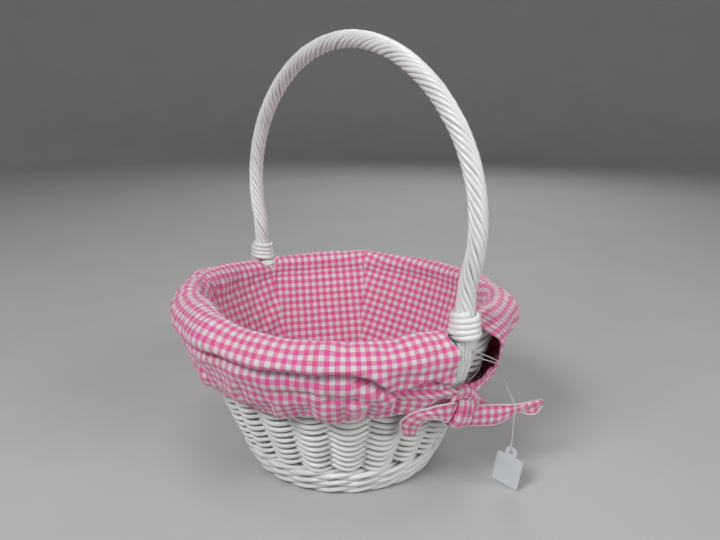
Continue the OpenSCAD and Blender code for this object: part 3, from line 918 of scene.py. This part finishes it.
def gore(bundle, low, high):
    """The lining between two seams, from the rim down the wall and over the floor."""
    rolled, upright = (smooth_line(top + WALL + TURN, 66) for top in (UNDER_ROLL, UP_TO_CREST))
    theta = np.linspace(low, high, max(12, int((high - low) / 1.1)))
    r, z, from_top = blend(rolled, upright, (theta + 180) % 360 - 180)
    th = theta + 0 * r
    r = r - bowl_dent(th, z) * ease(z, FLOOR_Z, 22) * (1 - 0.8 * ease(z, 121, 133))
    z = z + rim_lift(th, z)
    tuck = bump(r * np.sin(np.radians(th)), TUCK_Y, TUCK_WIDTH) * ease(z, 124, 130)
    r, z = r + (TUCK_R - r) * tuck, z + (TUCK_Z - z) * tuck
    r, z = clear_of_wicker(r, z, 0 * z)
    rings = np.array(FLOOR_RINGS)[:, None] + 0 * theta
    grid = np.concatenate([polar(r, th, z), polar(rings, theta, FLOOR_Z)])
    on_floor = grid[-len(rings):]
    on_floor[..., 2] += 0.5 * grid_noise(on_floor[..., 0] / 18, on_floor[..., 1] / 18, seed=71)
    slope_r = GORE_LOW_R / CONE + (from_top[-1] - from_top)
    turn = np.radians(theta - (low + high) / 2) * CONE
    wall_uv = np.stack([slope_r * np.sin(turn), slope_r * np.cos(turn)], axis=-1)
    floor_from = len(wall_uv) - 3
    wall_faces, wall_uvs = quads(wall_uv, 0, floor_from)
    floor_faces, floor_uvs = quads(grid[..., :2], floor_from)
    bundle.add(grid.reshape(-1, 3), wall_faces + floor_faces, wall_uvs + floor_uvs)


bowl = Bundle()
for low, high in zip(SEAMS[:-1], SEAMS[1:]):
    gore(bowl, low, high)
bowl_obj = bowl.make("bowl_lining", GINGHAM, weld=0.02)
thicken(bowl_obj, SHEET_T, 1.0)

# ---- ties

STRAP_T = 1.3
# The turn of strap that holds the knot: its middle, half sizes, tilt and girth
KNOT_X, KNOT_Y, KNOT_Z = 114.4, 10.6, 71.6
KNOT_OUT, KNOT_UP, KNOT_WIDE = 6.2, 11.6, 9.6
KNOT_TILT, KNOT_GIRTH = -22, 52.0
EDGING_R, EDGING_OUT = 0.7, 0.4


def ribbon(bundle, edge_a, edge_b, bulge, width, start=0.0, crumple=0.5, rows=14, cols=40):
    """Cloth between two edges given as (degrees, height, radius). It bows out between them. Its
    checks start at a length along the strap."""
    lines = []
    for edge in (edge_a, edge_b):
        a, z, r = np.array(edge, float).T
        lines.append(smooth_line(polar(r, a, z), cols)[0])
    t = np.linspace(0, 1, rows)[:, None, None]
    grid = lines[0] * (1 - t) + lines[1] * t
    along = unit(np.gradient(grid, axis=1))
    across = unit(np.gradient(grid, axis=0) + 1e-6)
    normal = unit(np.cross(across, along))
    outward = unit(grid * np.array([1.0, 1.0, 0.0]))
    normal = normal * np.sign((normal * outward).sum(-1, keepdims=True))
    bow = np.sin(math.pi * t[..., 0]) ** 0.8 * bulge
    rough = crumple * grid_noise(grid[..., 1] / 5, grid[..., 2] / 5, seed=start + 81)
    grid = grid + normal * (bow + rough)[..., None]
    length = start + lengths_along((lines[0] + lines[1]) / 2)
    across_uv = width * np.arange(rows)[:, None] / (rows - 1)
    uv = np.stack(np.broadcast_arrays(across_uv, length), axis=-1)
    bundle.add(grid.reshape(-1, 3), *quads(uv))


def knot_wrap(bundle):
    """A flattened loop, a little askew."""
    rows, cols = 48, 20
    loop = np.linspace(0, TAU, rows)[:, None]
    t = np.linspace(-1, 1, cols)[None, :]
    pinch = 1 - 0.16 * np.abs(t) ** 5 + 0.05 * np.cos(3 * t + 1)
    up = KNOT_UP * np.sign(np.sin(loop)) * np.abs(np.sin(loop)) ** 0.85 * pinch
    out = KNOT_OUT * np.sign(np.cos(loop)) * np.abs(np.cos(loop)) ** 0.75 * pinch
    across = KNOT_WIDE * t + 0 * loop
    tilt = math.radians(KNOT_TILT)
    y = KNOT_Y + across * math.cos(tilt) - up * math.sin(tilt) * 0.75
    z = KNOT_Z + across * math.sin(tilt) + up * math.cos(tilt)
    rough = 0.4 * grid_noise(up / 4 + 0 * t, across / 5, seed=91)
    grid = np.stack([KNOT_X + out - 0.004 * (y - 6) ** 2 + rough, y, z], axis=-1)
    v = KNOT_GIRTH * np.arange(rows)[:, None] / (rows - 1)
    uv = np.stack(np.broadcast_arrays(KNOT_WIDE * t + 11.1, v), axis=-1)
    bundle.add(grid.reshape(-1, 3), *quads(uv, flip=True))


KNOT_PARTS = [
    # over the top of the turn
    dict(edge_a=[(-2.4, 84, 118), (-1, 88.7, 118), (1.2, 91.6, 118), (4.6, 92, 118), (9.5, 87, 118),
                 (13.2, 79.2, 117), (14.4, 73, 116), (13.7, 67, 115)],
         edge_b=[(-1.5, 79, 118.5), (-0.5, 83, 119.5), (1.3, 84.8, 120), (3.7, 84.2, 120),
                 (6.2, 81, 119.5), (8.4, 76.8, 119), (10, 72, 118), (10.6, 66, 116)],
         bulge=2.6, width=11, crumple=0.8),
    # pointed fold beside it
    dict(edge_a=[(9, 86, 112), (12, 82, 114), (16.5, 75.8, 115.5), (20.6, 68.5, 116.5)],
         edge_b=[(9, 70, 114), (12.5, 70, 116), (16, 67.2, 117), (19.2, 65.6, 117)],
         bulge=1.6, width=13, start=9.0, cols=24),
    # cloth drawn in from the back hem
    dict(edge_a=[(24, 91, 119), (20, 89.6, 118), (14.5, 88, 117), (8.8, 88, 116), (4, 87, 115)],
         edge_b=[(22, 82, 114), (18.5, 78.5, 113.5), (14, 77, 113), (8.8, 78, 114), (4, 78, 114)],
         bulge=2.4, width=13, start=30.0, crumple=1.0),
]
FRONT_TAIL = dict(
    edge_a=[(1, 82, 119), (-1, 84, 121), (-4.8, 84.4, 120.2), (-7.2, 84.1, 118.6),
            (-9.5, 82.8, 116.8), (-12.6, 81.6, 114.6), (-14.7, 79.5, 112.7), (-16.4, 76.8, 111),
            (-17.8, 73, 109.2), (-16.9, 66.8, 107), (-15.4, 60.3, 104.8)],
    edge_b=[(2, 69, 114), (0, 67.6, 116), (-2.5, 69, 116.4), (-4.7, 72.2, 117), (-7.6, 74.8, 117),
            (-9.4, 74.8, 115.8), (-10.6, 72.4, 113.8), (-11, 69, 111.4), (-10.9, 66.5, 109.8),
            (-10.8, 62.5, 107), (-10.5, 59, 105)],
    bulge=0.8, width=15, start=60.0, crumple=0.35)
BACK_TAIL = [
    dict(edge_a=[(8, 72, 115), (12.1, 70.2, 118.5), (14.4, 70.4, 121.2), (18.8, 68.8, 127.5),
                 (23.1, 66.4, 135), (26.3, 65.4, 141.6), (28.9, 65.8, 147.8), (30.8, 65.3, 153)],
         edge_b=[(8, 58, 112.5), (10, 57.2, 115.5), (13.8, 55.6, 120.5), (18.5, 54, 127.2),
                 (21.7, 56, 132.5), (25.4, 60.2, 139.6), (27.6, 62.7, 144.7), (30.9, 64.6, 153.2)],
         bulge=1.4, width=16, start=90.0, crumple=0.4),
    dict(edge_a=[(23.4, 57.8, 135.4), (25.4, 60.2, 139.6), (27.6, 62.7, 144.7),
                 (30.9, 64.6, 153.2)],
         edge_b=[(23.4, 57.3, 135.2), (25.8, 59.4, 139.4), (27.9, 56, 144.4), (29.8, 55.2, 149.4),
                 (31.3, 61, 153.8)],
         bulge=-0.6, width=9, start=126.0, cols=24, crumple=0.3),
]


def tie_piece(name, mirror, wrap, parts):
    """Ribbons that make one piece of the tie, with the knot's turn or without it."""
    b = Bundle()
    if wrap:
        knot_wrap(b)
    for part in parts:
        ribbon(b, **part)
    if mirror < 0:
        b.verts = [v * np.array([-1, 1, 1]) for v in b.verts]
    obj = b.make(name, GINGHAM)
    thicken(obj, STRAP_T, 0.0)
    return obj


def strap_edging(name, mirror):
    """Pale turned edge along both straps."""
    b = Bundle()
    edges = [part[key] for part in (FRONT_TAIL, BACK_TAIL[0]) for key in ("edge_a", "edge_b")]
    for edge in edges + [BACK_TAIL[1]["edge_b"]]:
        a, z, r = np.array(edge[1:], float).T
        line, _ = smooth_line(polar(r + EDGING_OUT, a, z), 40)
        tube(b, line * np.array([mirror, 1, 1]), EDGING_R, 6)
    return b.make(name, EDGING)


ties = {}
edging = []
for side, mirror in (("right", 1), ("left", -1)):
    ties["knot_" + side] = tie_piece("tie_knot_" + side, mirror, True, KNOT_PARTS)
    ties["front_tail_" + side] = tie_piece("front_strap_" + side, mirror, False, [FRONT_TAIL])
    ties["back_tail_" + side] = tie_piece("back_strap_" + side, mirror, False, BACK_TAIL)
    edging.append(strap_edging("strap_edging_" + side, mirror))

# ---- tag

TAG_W, TAG_H, TAG_T = 20.0, 32.0, 0.5
TAB_R, TAB_NECK, HOLE_R, CORNER, SHOULDER = 4.5, 3.2, 1.5, 1.4, 1.4
TAG_DROP = 1.15  # how far the hole's middle hangs below the thread
CARD_WAVE, CARD_WAVE_TURN = 0.00035, 60.0  # in metres and radians to the metre


def tag_outline():
    """Half of the tag's edge, from the middle of the bottom up to the tab, and its mirror image."""
    low, high = TAB_R - TAG_H, -TAB_NECK
    right = [(TAG_W / 2 - CORNER + CORNER * math.cos(a), low + CORNER + CORNER * math.sin(a))
             for a in np.radians(np.linspace(-90, 0, 6))]
    right += [(TAG_W / 2, high - SHOULDER), (TAG_W / 2 - SHOULDER, high), (TAB_R * 0.92, high)]
    right += [(TAB_R * math.cos(a), TAB_R * math.sin(a))
              for a in np.radians(np.linspace(-18, 90, 10))]
    return right + [(-x, y) for x, y in right[-2::-1]]


def tag_card():
    """Card with a hole in its tab, a little wavy, hung by the hole and turned."""
    bm = bmesh.new()
    hole = [(HOLE_R * math.cos(a), HOLE_R * math.sin(a))
            for a in np.linspace(0, TAU, 20, endpoint=False)]
    rings = [[bm.verts.new((x * MM, y * MM, 0)) for x, y in ring] for ring in (tag_outline(), hole)]
    edges = [bm.edges.new((r[i], r[(i + 1) % len(r)])) for r in rings for i in range(len(r))]
    bmesh.ops.triangle_fill(bm, edges=edges, use_beauty=True)
    bmesh.ops.subdivide_edges(bm, edges=bm.edges[:], cuts=1)
    mesh = bpy.data.meshes.new("tag_card")
    bm.to_mesh(mesh)
    bm.free()
    mesh.materials.append(CARD)
    centre = Vector(HOLE_AT - np.array([0, 0, TAG_DROP])) * MM
    turn = (Matrix.Rotation(math.radians(TAG_TURN), 4, "Z")
            @ Matrix.Rotation(math.radians(90), 4, "X")
            @ Matrix.Rotation(math.radians(-TAG_ROLL), 4, "Z"))
    place = Matrix.Translation(centre) @ turn
    for v in mesh.vertices:
        v.co.z = CARD_WAVE * math.sin(v.co.y * CARD_WAVE_TURN)
        v.co = place @ v.co
    obj = new_object("tag_card", mesh)
    thicken(obj, TAG_T, 0.0)
    return obj


tag_obj = tag_card()

# ---- riding and replacing

wicker = {
    side_obj: ["side_weave"], wale_obj: ["bottom_wale"], upper_obj: [], border_obj: ["border"],
    stakes_obj: ["stake_%d" % (i + 1) for i in range(STAKES)], base_obj: ["base_weave"],
    rope_obj: ["handle_roping"], collar_right: ["collar_right"], collar_left: ["collar_left"],
    leg_right: ["leg_canes_right"], leg_left: ["leg_canes_left"],
}
cloth = {
    bowl_obj: ["liner_bowl", "liner_bottom"], front_obj: ["skirt_front", "casing_front"],
    back_obj: ["skirt_back", "casing_back"], **{obj: [node] for node, obj in ties.items()},
    **{obj: [] for obj in edging},
}
bands = {elastic_front: ["elastic_front"], elastic_back: ["elastic_back"]}
strings = {anchor: ["string_anchor"], string: ["tag_string"]}
card = {tag_obj: ["tag"]}
moving = {string: "string", tag_obj: "tag"}

for slot, pieces in (("white_wicker", wicker), ("gingham_cotton", cloth), ("elastic", bands),
                     ("string", strings), ("card", card)):
    for obj, nodes in pieces.items():
        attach(obj, moving.get(obj, "root"))
        if nodes:
            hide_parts(*nodes)

for node, obj in ties.items():
    if node.startswith("knot"):
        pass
    elif node.startswith("front"):
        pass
    else:
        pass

# The nodes that still show, the base's sticks and the handle's core, are painted too
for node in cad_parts.values():
    node.data.materials.clear()
    node.data.materials.append(PAINT_CAD)

# ---- stage and light

# A pale floor that curves up into a wall all round, far out, as distance and height in metres
STAGE = [(0.0, 0.0), (2.2, 0.0), (2.6, 0.05), (2.9, 0.2), (3.15, 0.5), (3.3, 1.0), (3.35, 2.4)]
STAGE_TURNS = 64
FLOOR_DROP = 0.0002
# Place, aim, size in metres and watts
LIGHTS = {
    "key": ((0.35, -1.25, 1.25), (0, 0, 0.12), 0.5, 17.5),
    "fill": ((1.5, 0.45, 0.8), (0, 0, 0.1), 1.0, 12),
    "back": ((-1.1, 1.3, 1.1), (0, 0, 0.1), 1.0, 7),
    "top": ((0.25, -0.3, 1.8), (0, 0, 0.1), 0.6, 4),
}
WORLD_COLOUR, WORLD_STRENGTH = (0.80, 0.81, 0.83, 1), 0.1

line, _ = smooth_line(STAGE, 40)
grid = polar(line[:, :1] / MM, np.linspace(0, 360, STAGE_TURNS), (line[:, 1:] - FLOOR_DROP) / MM)
stage = Bundle()
stage.add(grid.reshape(-1, 3), *quads(np.zeros_like(grid[..., :2])))
pale = Shader("pale_floor")
mottle = pale.noise(pale.spot, 6.0, 3.0)
tone = pale.ramp(mottle, [(0.3, (0.50, 0.50, 0.495)), (0.7, (0.53, 0.53, 0.525))])
pale.surface(base_color=tone, roughness=0.7)
floor = stage.make("floor", pale.material)
floor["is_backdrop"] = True


def area_light(name, at, aim, size, power):
    data = bpy.data.lights.new(name, "AREA")
    data.size = size
    data.energy = power
    obj = new_object(name, data)
    obj.location = at
    obj.rotation_euler = (Vector(aim) - Vector(at)).to_track_quat("-Z", "Y").to_euler()


for name, settings in LIGHTS.items():
    area_light(name, *settings)
world = bpy.data.worlds.new("studio")
world.use_nodes = True
sky = world.node_tree.nodes["Background"]
sky.inputs["Color"].default_value = WORLD_COLOUR
sky.inputs["Strength"].default_value = WORLD_STRENGTH
bpy.context.scene.world = world

low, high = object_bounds()
